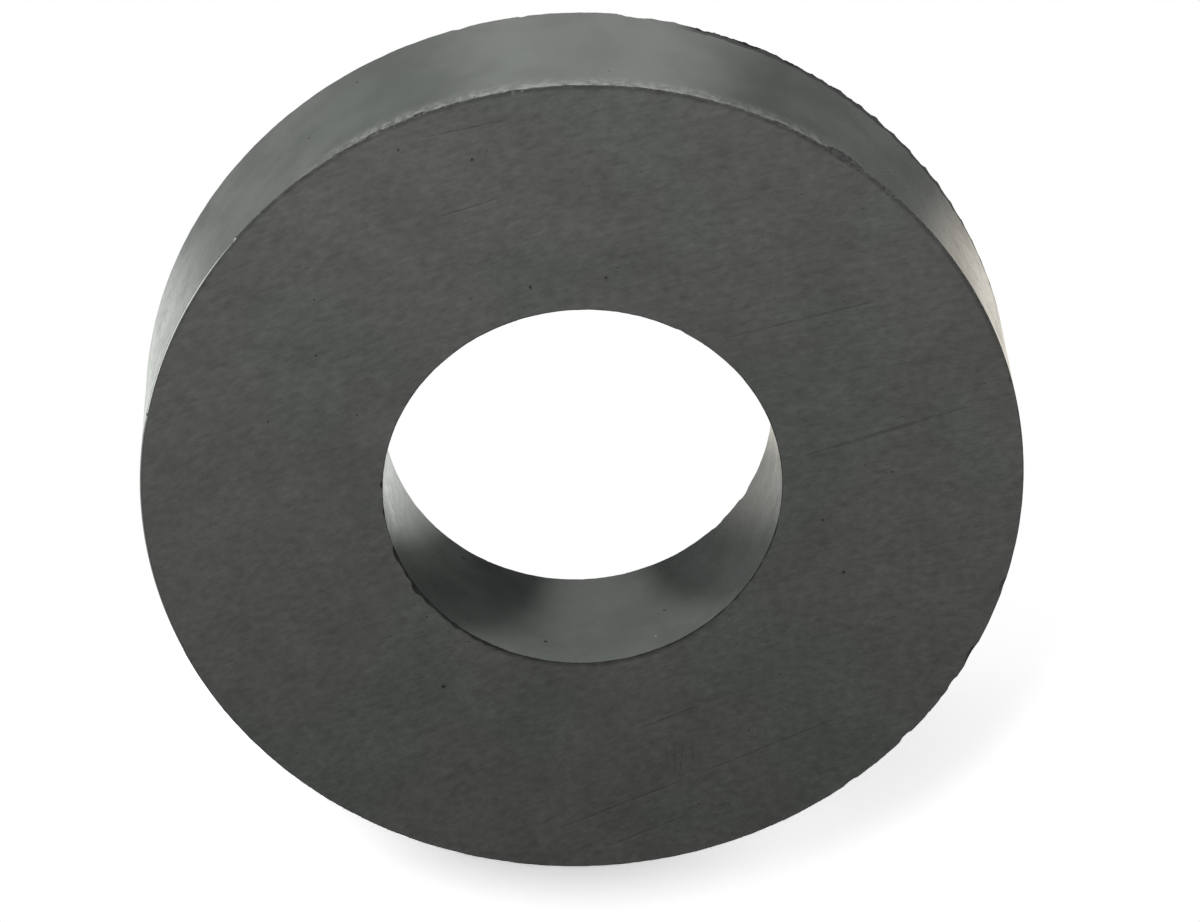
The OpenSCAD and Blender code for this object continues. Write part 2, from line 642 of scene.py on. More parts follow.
@dataclass
class ChippedRingTree(GeometryGroup):
    """The tree that sweeps the ring's section round its axis and cuts every hollow from it."""

    nicks: dict[Edge, EdgeNicks]
    ring_steps: int = 1440
    edge_arc_steps: int = 3
    egg_detail: int = 5

    # The share of the edge break that is drawn back to a sharp corner, between the two ends of the
    # noise's range, the length of its swings, and how far from the corner it takes hold, in breaks
    keenness: tuple[float, float] = (0.86, 0.35)
    keen_range: tuple[float, float] = (0.32, 0.72)
    keen_length: float = 1.1 * MM
    keen_reach: float = 1.01

    # The small pores: how many to the square metre, their radii, shapes and roughness, and the
    # power that makes most of them small
    pore_density: float = 0.035 / MM ** 2
    pore_radii: tuple[float, float] = (0.03 * MM, 0.10 * MM)
    pore_stretch: tuple[Colour, Colour] = ((0.7, 0.7, 0.4), (1.4, 1.1, 0.7))
    pore_rugged_share: float = 0.25
    pore_rarity: float = 3.0
    pore_detail: int = 2
    pore_seeds: tuple[int, int, int] = (31, 5, 9)

    # The lumps on a broken surface: their length, and their swing in ruggednesses
    lump_length: float = 0.32 * MM
    lump_swing: float = 4.0

    # The stretch of the upper rim's edge that is rubbed to an even bevel, and how it fades out
    polished_from: float = 141.0
    polished_to: float = 205.0
    polished_fade: float = math.degrees(0.012)

    # The sharpest turn that is shaded smooth, on the ring and in its chips
    crisp_angle: float = 6.0
    chip_crisp_angle: float = 32.0

    # The least uprightness of an eased edge, and how much of a corner's faces have to be cut before
    # it is shaded as a chip
    eased_normal: float = 0.1
    chip_share: float = 0.75

    # The fewest points of the ring's own mesh, above those of any loose crumb
    ring_points: int = 5000

    def __post_init__(self) -> None:
        """Writes the tree from the sweep to the finished mesh."""
        numbers = dict.fromkeys(("Outer radius", "Bore radius", "Thickness", "Edge break"), "Float")
        materials = dict.fromkeys(("Ground", "Fired", "Broken"), "Material")
        super().__init__("chipped ring", {"Cutters": "Geometry"} | numbers | materials, "Ring")
        outer, bore = self.given["Outer radius"], self.given["Bore radius"]
        self.wall = self.maths("SUBTRACT", outer, bore)
        self.middle = self.times(self.maths("ADD", outer, bore), 0.5)
        self.half_height = self.times(self.given["Thickness"], 0.5)
        plain = self._eased_edges(self._swept_ring())
        cutters = self._rugged(self._all_cutters(plain))
        cut = self.read("GeometryNodeMeshBoolean", "Mesh", {"Mesh 1": plain, "Mesh 2": cutters},
                        operation="DIFFERENCE", solver="MANIFOLD")
        self.hand_out({"Ring": self._finished(self._shaded(self._without_crumbs(cut)))})

    def _swept_ring(self) -> Socket:
        """Sweeps a rectangle with rounded corners round the axis.

        Returns:
            The closed ring, standing on its underside.
        """
        path = self.circle(self.ring_steps, self.middle)
        section = self.read("GeometryNodeCurvePrimitiveQuadrilateral", "Curve",
                            {"Width": self.wall, "Height": self.given["Thickness"]})
        corners = {"Curve": section, "Count": self.edge_arc_steps, "Radius": self.given["Edge break"]}
        rounded = self.read("GeometryNodeFilletCurve", "Curve", corners, mode="POLY")
        swept = self.read("GeometryNodeCurveToMesh", "Mesh", {"Curve": path, "Profile Curve": rounded})
        return self.moved(swept, self.upright(self.half_height))

    def _eased_edges(self, ring: Socket) -> Socket:
        """Makes the edge break wider and narrower round the ring, and widest where it is polished.

        Args:
            ring: The swept ring.

        Returns:
            The ring with its uneven edge break.
        """
        place = self.place()
        height = self.part(place, "Z")
        flat = self.flat(place)
        radius = self.vector("LENGTH", flat)
        outside = self.maths("GREATER_THAN", radius, self.middle)
        above = self.maths("GREATER_THAN", height, self.half_height)
        corner_r = self.maths("MULTIPLY_ADD", outside, self.wall, self.given["Bore radius"])
        to_wall = self.maths("SUBTRACT", corner_r, radius)
        to_face = self.maths("SUBTRACT", self.times(above, self.given["Thickness"]), height)
        reach = self.times(self.given["Edge break"], self.keen_reach)
        near = self.times(*(self.maths("LESS_THAN", self.maths("ABSOLUTE", gap), reach)
                            for gap in (to_wall, to_face)))
        swings = self.noise(place, 1 / self.keen_length, Texture.KEEN)
        polished = self.times(self._polished(place), self.times(outside, above))
        keen = self.times(self.span(swings, *self.keen_range, *self.keenness), self.rest(polished))
        across = self.scaled(self.vector("NORMALIZE", flat), self.times(to_wall, keen))
        lift = self.upright(self.times(to_face, keen))
        return self.moved(ring, self.scaled(self.vector("ADD", across, lift), near))

    def _polished(self, place: Socket) -> Socket:
        """Marks the polished stretch round the ring.

        Args:
            place: The place on the ring.

        Returns:
            1 inside the stretch and 0 outside it.
        """
        half = (self.polished_to - self.polished_from) / 2
        facing = self.facing(place, (self.polished_from + self.polished_to) / 2)
        return self.span(facing, cosine(half + self.polished_fade), cosine(half - self.polished_fade))

    def _all_cutters(self, ring: Socket) -> Socket:
        """Gathers the listed eggs, the nicks of the four edges and the pores of the surface.

        Args:
            ring: The plain ring, for its surface.

        Returns:
            All the cutters as one mesh, with how rugged each is.
        """
        turn, half_size = (self.carried(c, "FLOAT_VECTOR") for c in (Column.TURN, Column.HALF_SIZE))
        parts = [self.eggs(self.given["Cutters"], self.egg_detail, turn, half_size)]
        nicks_tree = EdgeNicksTree().tree
        for edge, nicks in self.nicks.items():
            parts.append(self.read("GeometryNodeGroup", "Cutters", {
                "Radius": self.given["Outer radius" if edge.out > 0 else "Bore radius"],
                "Height": self.given["Thickness"] if edge.up > 0 else 0.0,
                "Way out": float(edge.out), "Way up": float(edge.up), "Smallest": nicks.smallest,
                "Largest": nicks.largest, "Places": nicks.places, "Share": nicks.share,
                "Seed": nicks.seed}, node_tree=nicks_tree))
        joined = self.add("GeometryNodeJoinGeometry")
        for part in (*parts, self._pores(ring)):
            self.fill(joined.inputs["Geometry"], part)
        return self._realized(joined.outputs["Geometry"])

    def _realized(self, instances: Socket) -> Socket:
        """Turns instances into one mesh."""
        return self.read("GeometryNodeRealizeInstances", "Geometry", {"Geometry": instances})

    def _pores(self, ring: Socket) -> Socket:
        """Scatters small flat eggs over the whole surface.

        Args:
            ring: The plain ring.

        Returns:
            The eggs, as instances.
        """
        place_seed, size_seed, shape_seed = self.pore_seeds
        points = self.add("GeometryNodeDistributePointsOnFaces",
                          {"Mesh": ring, "Density": self.pore_density, "Seed": place_seed})
        low, high = self.pore_radii
        luck = self.maths("POWER", self.number(0.0, 1.0, size_seed), self.pore_rarity)
        radius = self.maths("MULTIPLY_ADD", luck, high - low, low)
        kept = self.store(points.outputs["Points"], Column.RUGGED,
                          self.times(radius, self.pore_rugged_share), "POINT")
        size = self.scaled(self.triple(*self.pore_stretch, shape_seed), radius)
        return self.eggs(kept, self.pore_detail, points.outputs["Rotation"], size)

    def _rugged(self, cutters: Socket) -> Socket:
        """Roughens the cutters with one noise, and parts them again so that they may overlap.

        Args:
            cutters: The cutters, as one mesh.

        Returns:
            The cutters, as one instance each.
        """
        lumps = self.noise(self.place(), 1 / self.lump_length, Texture.LUMPY)
        swing = self.times(self.maths("SUBTRACT", lumps, 0.5), self.lump_swing)
        rise = self.times(swing, self.carried(Column.RUGGED, "FLOAT"))
        moved = self.moved(cutters, self.scaled(self.normal(), rise))
        marked = self.store(moved, Column.CHIPPED, 1.0, "FACE")
        pieces = {"Geometry": marked, "Group ID": self._island()}
        return self.read("GeometryNodeSplitToInstances", "Instances", pieces, domain="POINT")

    def _island(self) -> Socket:
        """Reads which loose part of the mesh each point belongs to."""
        return self.read("GeometryNodeInputMeshIsland", "Island Index")

    def _without_crumbs(self, mesh: Socket) -> Socket:
        """Drops the crumbs that crossing cutters leave loose.

        Args:
            mesh: The cut ring.

        Returns:
            The ring alone.
        """
        count = self.read("GeometryNodeAccumulateField", "Total", {"Value": 1, "Group ID": self._island()},
                          data_type="INT", domain="POINT")
        small = self.read("FunctionNodeCompare", "Result", {2: count, 3: self.ring_points},
                          data_type="INT", operation="LESS_THAN")
        return self.read("GeometryNodeDeleteGeometry", "Geometry", {"Geometry": mesh, "Selection": small},
                         domain="POINT", mode="ALL")

    def _shaded(self, mesh: Socket) -> Socket:
        """Shades round forms smooth, with the two faces flat and every hollow's rim crisp.

        Args:
            mesh: The whole ring.

        Returns:
            The ring with its shading set.
        """
        curved = self.maths("LESS_THAN", self._steepness(), LEVEL_NORMAL)
        angle = self.read("GeometryNodeInputMeshEdgeAngle", "Unsigned Angle")
        broken = self.maths("GREATER_THAN", self.carried(Column.CHIPPED, "FLOAT"), self.chip_share)
        crisp, chip_crisp = math.radians(self.crisp_angle), math.radians(self.chip_crisp_angle)
        limit = self.maths("MULTIPLY_ADD", broken, chip_crisp - crisp, crisp)
        soft = self.maths("LESS_THAN", angle, limit)
        for domain, smooth in (("FACE", curved), ("EDGE", soft)):
            inputs = {"Geometry": mesh, "Shade Smooth": smooth}
            mesh = self.read("GeometryNodeSetShadeSmooth", "Geometry", inputs, domain=domain)
        return mesh

    def _steepness(self) -> Socket:
        """Works out how upright the surface's normal is, from 0 on a wall to 1 on a face."""
        return self.maths("ABSOLUTE", self.part(self.normal(), "Z"))

    def _finished(self, mesh: Socket) -> Socket:
        """Gives each part of the surface its finish: ground, fired or broken.

        Args:
            mesh: The shaded ring.

        Returns:
            The finished mesh.
        """
        steepness = self._steepness()
        level = self.maths("GREATER_THAN", steepness, LEVEL_NORMAL)
        eased = self.times(self.maths("GREATER_THAN", steepness, self.eased_normal), self.rest(level))
        place = self.place()
        above = self.maths("GREATER_THAN", self.part(place, "Z"), self.half_height)
        rubbed = self.times(self._polished(place), above)
        crumbly = self.times(eased, self.maths("LESS_THAN", rubbed, 0.5))
        chipped = self.maths("GREATER_THAN", self.carried(Column.CHIPPED, "FLOAT"), 0.5)
        fired = self.finish(self._realized(mesh), self.given["Fired"])
        ground = self.finish(fired, self.given["Ground"], level)
        return self.finish(ground, self.given["Broken"], self.maths("MAXIMUM", chipped, crumbly))


class ShaderGroup(Group):
    """Writes a shader group that reads the object's own coordinates."""

    def __init__(self, name: str, inputs: dict[str, str], outputs: dict[str, str]) -> None:
        """Starts the group with its named inputs and outputs."""
        super().__init__(name, "ShaderNodeTree", inputs, outputs)
        self.place = self.read("ShaderNodeTexCoord", "Object")


class ShaderGroups:
    """The surface effects that several finishes share, each a node group built once."""

    # The parts of a noise's range that carry a patch and a tint, and the tint's scale and shift,
    # which keep it from following the patches
    PATCHES = (0.3, 0.7)
    TINTS = (0.42, 0.62)
    TINT_SCALE = 0.45
    TINT_SHIFT = (0.37, -0.21, 0.11)

    # The range of a cell's luck that makes its pore larger, and its fleck, and how soft they end
    PORE_CELLS = (0.45, 1.0)
    FLECK_CELLS = (0.12, 0.0)
    SPOT_EDGE = 0.04

    # The power that thins a scratch only near its ends, and where its soft edge lies, in widths
    SCRATCH_TAPER = 0.4
    SCRATCH_EDGE = (1.0, 0.3)

    def __init__(self) -> None:
        """Builds the groups."""
        self.clouds = self._clouds()
        self.grain = self._grain()
        self.marks = self._marks()
        self.scratch = self._scratch()

    def _clouds(self) -> bpy.types.NodeTree:
        """Builds soft patches of two tones, with a faint tint of their own.

        Returns:
            The group.
        """
        inputs = dict.fromkeys(("Dark", "Light", "Tint"), "Color")
        inputs |= dict.fromkeys(("Tint share", "Patch size"), "Float")
        s = ShaderGroup("cloudy tone", inputs, {"Color": "Color", "Value": "Float"})
        scale = s.maths("DIVIDE", 1.0, s.given["Patch size"])
        far = s.vector("ADD", s.place, self.TINT_SHIFT)
        tints = s.noise(far, s.times(scale, self.TINT_SCALE), Texture.SOFT)
        value = s.span(s.noise(s.place, scale, Texture.CLOUDY), *self.PATCHES)
        tone = s.mix(value, s.given["Dark"], s.given["Light"])
        tinted = s.mix(1.0, tone, s.given["Tint"], "MULTIPLY")
        share = s.times(s.span(tints, *self.TINTS), s.given["Tint share"])
        return s.hand_out({"Color": s.mix(share, tone, tinted), "Value": value})

    def _grain(self) -> bpy.types.NodeTree:
        """Builds the fine grain and pores of sintered powder.

        Returns:
            The group, whose height is in metres. Its masks are 1 in a pore and on a bright fleck.
        """
        inputs = ("Grain size", "Grain height", "Pore spacing", "Pore size", "Pore depth")
        s = ShaderGroup("sintered grain", dict.fromkeys(inputs, "Float"),
                        dict.fromkeys(("Height", "Pores", "Flecks", "Grain"), "Float"))
        grain = s.noise(s.place, s.maths("DIVIDE", 1.0, s.given["Grain size"]), Texture.GRITTY)
        cells = s.add("ShaderNodeTexVoronoi", {
            "Vector": s.place, "Scale": s.maths("DIVIDE", 1.0, s.given["Pore spacing"]),
            "Randomness": 1.0}, feature="F1").outputs
        luck = s.read("ShaderNodeSeparateColor", "Red", {"Color": cells["Color"]})
        pores, flecks = (
            s.span(s.maths("SUBTRACT", s.times(s.given["Pore size"], s.span(luck, *chosen)),
                           cells["Distance"]), 0.0, self.SPOT_EDGE)
            for chosen in (self.PORE_CELLS, self.FLECK_CELLS)
        )
        rise = s.times(s.maths("SUBTRACT", grain, 0.5), s.given["Grain height"])
        height = s.maths("SUBTRACT", rise, s.times(pores, s.given["Pore depth"]))
        return s.hand_out({"Height": height, "Pores": pores, "Flecks": flecks, "Grain": grain})

    def _marks(self) -> bpy.types.NodeTree:
        """Builds streaks that follow arcs about a far centre, as a grinding wheel leaves them.

        Returns:
            The group, whose streaks swing about 0.5.
        """
        inputs = {"Centre": "Vector", "Width": "Float", "Length": "Float"}
        s = ShaderGroup("wheel marks", inputs, {"Streaks": "Float"})
        arm = s.vector("SUBTRACT", s.flat(s.place), s.given["Centre"])
        turn = s.maths("ARCTAN2", s.part(arm, "Y"), s.part(arm, "X"))
        along = s.times(turn, s.vector("LENGTH", s.given["Centre"]))
        cell = s.read("ShaderNodeCombineXYZ", "Vector", {
            "X": s.maths("DIVIDE", s.vector("LENGTH", arm), s.given["Width"]),
            "Y": s.maths("DIVIDE", along, s.given["Length"])})
        return s.hand_out({"Streaks": s.noise(cell, 1.0, Texture.GRITTY)})

    def _scratch(self) -> bpy.types.NodeTree:
        """Builds one straight scratch between two places, which thins out towards its ends.

        Returns:
            The group, whose mask is 1 in the scratch.
        """
        inputs = {"From": "Vector", "To": "Vector", "Width": "Float"}
        s = ShaderGroup("scratch", inputs, {"Mask": "Float"})
        arm = s.vector("SUBTRACT", s.place, s.given["From"])
        run = s.vector("SUBTRACT", s.given["To"], s.given["From"])
        share = s.maths("DIVIDE", s.vector("DOT_PRODUCT", arm, run), s.vector("DOT_PRODUCT", run, run))
        held = s.read("ShaderNodeClamp", "Result", {"Value": share})
        off = s.vector("LENGTH", s.vector("SUBTRACT", arm, s.scaled(run, held)))
        ends = s.times(s.times(held, s.rest(held)), 4.0)
        thinned = s.rest(s.maths("POWER", ends, self.SCRATCH_TAPER))
        reach = s.maths("ADD", s.maths("DIVIDE", off, s.given["Width"]), thinned)
        return s.hand_out({"Mask": s.span(reach, *self.SCRATCH_EDGE)})


class Finish(Steps):
    """Writes one material with its Principled shader, and has the shared effects at hand."""

    def __init__(self, name: str, groups: ShaderGroups) -> None:
        """Starts the material.

        Args:
            name: What it is called.
            groups: The shared surface effects.
        """
        self.material = bpy.data.materials.new(name)
        self.material.use_nodes = True
        super().__init__(self.material.node_tree)
        self.groups = groups
        self.shader = next(node for node in self.tree.nodes if node.type == "BSDF_PRINCIPLED")
        self.place = self.read("ShaderNodeTexCoord", "Object")

    def group(self, tree: bpy.types.NodeTree, inputs: Inputs) -> Any:
        """Places a shader group with its own values, and returns its outputs."""
        return self.add("ShaderNodeGroup", inputs, node_tree=tree).outputs

    def shade(self, height: Socket, inputs: Inputs) -> bpy.types.Material:
        """Fills the shader's inputs and bumps the surface.

        Args:
            height: The surface's height, in metres.
            inputs: The shader's inputs by name.

        Returns:
            The finished material.
        """
        bump = self.read("ShaderNodeBump", "Normal", {"Height": height, "Strength": 1.0, "Distance": 1.0})
        for name, value in (inputs | {"Normal": bump}).items():
            self.fill(self.shader.inputs[name], value)
        return self.material


@dataclass(frozen=True)
class Tone:
    """Soft patches of two tones, some of them tinted."""

    dark: Colour
    light: Colour
    patch_size: float
    tint_share: float
    tint: Colour = (0.95, 1.0, 0.96)

    def add(self, s: Finish) -> Any:
        """Adds the patches to a material, and returns their outputs."""
        return s.group(s.groups.clouds, {
            "Dark": opaque(self.dark), "Light": opaque(self.light), "Tint": opaque(self.tint),
            "Tint share": self.tint_share, "Patch size": self.patch_size})


@dataclass(frozen=True)
class Grain:
    """The fine grain of sintered powder, with the pores in it."""

    size: float
    height: float
    pore_spacing: float
    pore_size: float = 0.0
    pore_depth: float = 0.0

    def add(self, s: Finish) -> Any:
        """Adds the grain to a material, and returns its outputs."""
        return s.group(s.groups.grain, {
            "Grain size": self.size, "Grain height": self.height, "Pore spacing": self.pore_spacing,
            "Pore size": self.pore_size, "Pore depth": self.pore_depth})


@dataclass(frozen=True)
class Scratch:
    """A straight scratch in the upper face, between two places in millimetres."""

    start: tuple[float, float]
    end: tuple[float, float]
    width: float = 0.10


@dataclass(frozen=True)
class GroundFace:
    """The finish of the two ground faces: mottled matt charcoal with the grinding wheel's marks."""

    tone: Tone = Tone(dark=(0.0505, 0.0508, 0.0476), light=(0.0605, 0.0608, 0.0568),
                      patch_size=5 * MM, tint_share=0.8, tint=(0.90, 1.0, 0.97))
    grain: Grain = Grain(0.3 * MM, 0.0006 * MM, pore_spacing=0.9 * MM, pore_size=0.10, pore_depth=0.02 * MM)

    # The roughness on the darkest and lightest streaks, and how dark and light those are
    roughness: tuple[float, float] = (0.66, 0.58)
    streak_levels: tuple[float, float] = (0.85, 1.15)

    # The colour in scratches and pores, and how much of it shows in each
    scored: Colour = (0.024, 0.024, 0.024)
    scratch_share: float = 0.45
    pore_share: float = 0.6

    # A scratch's depth, and the length and noise range of its gaps, and what is left of it there
    scratch_depth: float = 0.010 * MM
    gap_length: float = 0.5 * MM
    gap_range: tuple[float, float] = (0.35, 0.55)
    gap_share: float = 0.25

    # A dark line painted on the face beside an edge, as painted shade: its width, where it is darkest, and
    # how dark it is
    edge_shade_width: float = 0.35 * MM
    edge_shade_darkest: float = 0.1 * MM
    edge_shade_strength: float = 0.45

    # The grinding wheel's radius and the way to its centre
    wheel_r: float = 137 * MM
    wheel_way: tuple[float, float] = (0.34, -0.94)

    # Each layer of streaks along the wheel's arcs, by width, length and strength: mottling,
    # patches, fine marks and broad marks
    streaks: tuple[tuple[float, float, float], ...] = (
        (0.42 * MM, 0.75 * MM, 1.35), (1.5 * MM, 2.6 * MM, 0.50),
        (0.12 * MM, 1.6 * MM, 0.60), (0.30 * MM, 7 * MM, 0.25),
    )

    scratches: tuple[Scratch, ...] = (
        Scratch((11.9, 1.9), (22.1, 5.4), 0.17), Scratch((7.7, 9.5), (17.0, 12.1), 0.12),
        Scratch((-1.0, -22.4), (7.1, -18.7)), Scratch((7.1, -18.7), (15.0, -15.0)),
        Scratch((3.7, -15.6), (7.1, -14.1)), Scratch((1.4, -23.8), (7.1, -21.2)),
        Scratch((-8.2, 17.0), (-4.8, 18.2)), Scratch((-9.2, 21.8), (-4.4, 22.9)),
        Scratch((5.1, -16.8), (5.3, -18.4)), Scratch((5.6, -16.6), (5.7, -18.6)),
        Scratch((6.1, -16.9), (6.0, -18.5)), Scratch((6.6, -16.6), (6.8, -18.3)),
    )

    def material(self, groups: ShaderGroups, ring: Ring) -> bpy.types.Material:
        """Builds the finish.

        Args:
            groups: The shared surface effects.
            ring: The plain ring's sizes, for the painted edge shade and the scratches' height.

        Returns:
            The material.
        """
        s = Finish("ground_ferrite", groups)
        grain = self.grain.add(s)
        # The streaks' level, less the shade painted beside the edges
        level = s.maths("SUBTRACT", self._streaked(s), self._painted_edge_shade(s, ring))
        toned = s.mix(1.0, self.tone.add(s)["Color"], s.grey(level), "MULTIPLY")
        scratched = self._scratched(s, ring)
        worn = s.maths("MAXIMUM", s.times(scratched, self.scratch_share),
                       s.times(grain["Pores"], self.pore_share))
        return s.shade(s.maths("MULTIPLY_ADD", scratched, -self.scratch_depth, grain["Height"]), {
            "Base Color": s.mix(worn, toned, opaque(self.scored)),
            "Roughness": s.span(level, *self.streak_levels, *self.roughness)})

    def _streaked(self, s: Finish) -> Socket:
        """Adds the layers of streaks into one level.

        Args:
            s: The material's writer.

        Returns:
            The level, which swings about 1.
        """
        centre = (self.wheel_r * self.wheel_way[0], self.wheel_r * self.wheel_way[1], 0.0)
        total: Any = 1.0 - sum(strength for _, _, strength in self.streaks) / 2
        for width, length, strength in self.streaks:
            marks = s.group(s.groups.marks, {"Centre": centre, "Width": width, "Length": length})
            total = s.maths("MULTIPLY_ADD", marks["Streaks"], strength, total)
        return total

    def _painted_edge_shade(self, s: Finish, ring: Ring) -> Socket:
        """Paints shade as dark lines beside the rim's edge towards +Y and the bore's towards -Y.

        Args:
            s: The material's writer.
            ring: The plain ring's sizes.

        Returns:
            How much darker the painted shade makes the face, from 0.
        """
        radius = s.vector("LENGTH", s.flat(s.place))
        depth = s.part(s.place, "Y")
        total: Any = 0.0
        for edge_r, inward in ((ring.outer_r, -1), (ring.bore_r, 1)):
            beside = s.span(radius, edge_r + inward * self.edge_shade_width,
                            edge_r + inward * self.edge_shade_darkest, 0.0, self.edge_shade_strength)
            side = s.span(depth, -inward * ring.bore_r / 2, -inward * ring.bore_r)
            total = s.maths("MULTIPLY_ADD", beside, side, total)
        return total

    def _scratched(self, s: Finish, ring: Ring) -> Socket:
        """Gathers the scratches into one mask, broken up along their length.

        Args:
            s: The material's writer.
            ring: The plain ring's sizes.

        Returns:
            The mask.
        """
        total: Any = 0.0
        for scratch in self.scratches:
            first, last = (Vector((x * MM, y * MM, ring.thickness)) for x, y in (scratch.start, scratch.end))
            inputs = {"From": first, "To": last, "Width": scratch.width * MM}
            total = s.maths("MAXIMUM", total, s.group(s.groups.scratch, inputs)["Mask"])
        gaps = s.noise(s.place, 1 / self.gap_length)
        return s.times(total, s.span(gaps, *self.gap_range, self.gap_share))


@dataclass(frozen=True)
class FiredSkin:
    """The finish of the rim and bore: the satin grey skin that the furnace leaves."""

    tone: Tone = Tone(dark=(0.034, 0.039, 0.035), light=(0.052, 0.058, 0.053),
                      patch_size=3 * MM, tint_share=0.7, tint=(0.92, 1.0, 0.97))
    grain: Grain = Grain(0.6 * MM, 0.0004 * MM, pore_spacing=1.1 * MM, pore_size=0.09, pore_depth=0.015 * MM)
    ior: float = 1.9

    # The small mottling: its size, and the part of its range that shows
    mottle_size: float = 0.5 * MM
    mottle_range: tuple[float, float] = (0.1, 0.9)

    # The roughness, and how far the mottling takes it up and down
    roughness: float = 0.21
    duller: float = 0.06
    sleeker: float = 0.05

    # The colours in pores and on flecks, and how much of them shows
    pore: Colour = (0.025, 0.025, 0.025)
    pore_share: float = 0.5
    fleck: Colour = (0.24, 0.24, 0.24)
    fleck_share: float = 0.8

    # A lighter band painted below the rim's upper edge on its +Y side only, as a painted highlight: its
    # colour, how far below the edge it reaches, the stretch of Y that it fades in over, and what is left of
    # it in its gaps
    edge_highlight: Colour = (0.150, 0.156, 0.148)
    edge_highlight_below: float = 1.5 * MM
    edge_highlight_beyond: tuple[float, float] = (18 * MM, 22.5 * MM)
    edge_highlight_least: float = 0.15

    # Shade painted low on the rim as a dark, rough strip beside its crumbled edge: its roughness, the height
    # below which it starts and the share of that where it is whole, the azimuth of its middle, and the
    # angle to its ends
    shade_strip: Colour = (0.014, 0.015, 0.014)
    shade_strip_roughness: float = 0.9
    shade_strip_below: float = 1.15 * MM
    shade_strip_whole: float = 0.75
    shade_strip_middle: float = 43.0
    shade_strip_half: float = 36.0

    # The angle that it fades over, and the length and height of its ragged edge
    shade_strip_fade: float = 6.0
    ragged_length: float = 0.7 * MM
    ragged_height: float = 0.9 * MM

    def material(self, groups: ShaderGroups, thickness: float) -> bpy.types.Material:
        """Builds the finish.

        Args:
            groups: The shared surface effects.
            thickness: The ring's height.

        Returns:
            The material.
        """
        s = Finish("fired_ferrite", groups)
        clouds, grain = self.tone.add(s), self.grain.add(s)
        mottle = s.group(groups.clouds, {"Patch size": self.mottle_size})["Value"]
        # A lighter band painted below the rim's upper edge on the +Y side, as a painted highlight
        near = s.times(s.span(s.part(s.place, "Z"), thickness - self.edge_highlight_below, thickness),
                       s.span(s.part(s.place, "Y"), *self.edge_highlight_beyond))
        edge_highlight = s.times(near, s.span(mottle, *self.mottle_range, self.edge_highlight_least))
        # Shade painted as a dark strip low on the rim, which also dulls its reflection there
        shade_strip = self._shade_strip(s)
        colour = clouds["Color"]
        for share, layer in (
            (edge_highlight, self.edge_highlight), (s.times(grain["Pores"], self.pore_share), self.pore),
            (s.times(grain["Flecks"], self.fleck_share), self.fleck), (shade_strip, self.shade_strip),
        ):
            colour = s.mix(share, colour, opaque(layer))
        satin = s.times(s.maths("ADD", clouds["Value"], mottle), 0.5)
        sheen = s.span(satin, *self.mottle_range, self.roughness + self.duller,
                       self.roughness - self.sleeker)
        roughness = s.maths("MULTIPLY_ADD", shade_strip, self.shade_strip_roughness - self.roughness, sheen)
        return s.shade(grain["Height"], {"Base Color": colour, "IOR": self.ior, "Roughness": roughness})

    def _shade_strip(self, s: Finish) -> Socket:
        """Marks where shade is painted as a dark strip low on the rim, beside its crumbled edge.

        Args:
            s: The material's writer.

        Returns:
            The mask.
        """
        along = s.span(s.facing(s.place, self.shade_strip_middle), cosine(self.shade_strip_half),
                       cosine(self.shade_strip_half - self.shade_strip_fade))
        ragged = s.noise(s.place, 1 / self.ragged_length, Texture.SOFT)
        height = s.maths("MULTIPLY_ADD", ragged, self.ragged_height, s.part(s.place, "Z"))
        low = s.span(s.maths("SUBTRACT", height, self.ragged_height / 2),
                     self.shade_strip_below, self.shade_strip_whole * self.shade_strip_below)
        return s.times(along, low)


@dataclass(frozen=True)
class FreshFracture:
    """The finish inside every chip and pore: rough broken grains with hardly any sheen."""

    tone: Tone = Tone(dark=(0.022, 0.023, 0.022), light=(0.070, 0.073, 0.070),
                      patch_size=0.25 * MM, tint_share=0.3)
    grain: Grain = Grain(0.05 * MM, 0.012 * MM, pore_spacing=0.5 * MM)
    specular: float = 0.12

    # The roughness at the bottom and top of the grain, and the range of the grain between them
    roughness: tuple[float, float] = (0.65, 0.85)
    grain_range: tuple[float, float] = (0.3, 0.7)

    # The painted glints, a lighter colour on the grains that stand highest, and how high they stand
    painted_glint: Colour = (0.16, 0.166, 0.16)
    glint_range: tuple[float, float] = (0.60, 0.72)

    # Shade painted as a darker colour in the breaks low on the ring and in those close about the bore: where
    # it starts, and the share of that where it is darkest
    fracture_shade: Colour = (0.012, 0.013, 0.012)
    fracture_shade_below: float = 1.6 * MM
    darkest_below: float = 0.5
    fracture_shade_within: float = 13.5 * MM
    darkest_within: float = 0.9

    def material(self, groups: ShaderGroups) -> bpy.types.Material:
        """Builds the finish.

        Args:
            groups: The shared surface effects.

        Returns:
            The material.
        """
        s = Finish("broken_ferrite", groups)
        grain = self.grain.add(s)
        # Painted shade: the breaks low on the ring and close about the bore are darkened
        low = s.span(s.part(s.place, "Z"), self.fracture_shade_below, self.darkest_below * self.fracture_shade_below)
        close = s.span(s.vector("LENGTH", s.flat(s.place)), self.fracture_shade_within,
                       self.darkest_within * self.fracture_shade_within)
        darkened = s.mix(s.maths("MAXIMUM", low, close), self.tone.add(s)["Color"], opaque(self.fracture_shade))
        # Painted highlights: the highest grains are given a lighter colour, as glints
        painted_glints = s.span(grain["Grain"], *self.glint_range)
        return s.shade(grain["Height"], {
            "Base Color": s.mix(painted_glints, darkened, opaque(self.painted_glint)),
            "Specular IOR Level": self.specular,
            "Roughness": s.span(grain["Grain"], *self.grain_range, *self.roughness)})


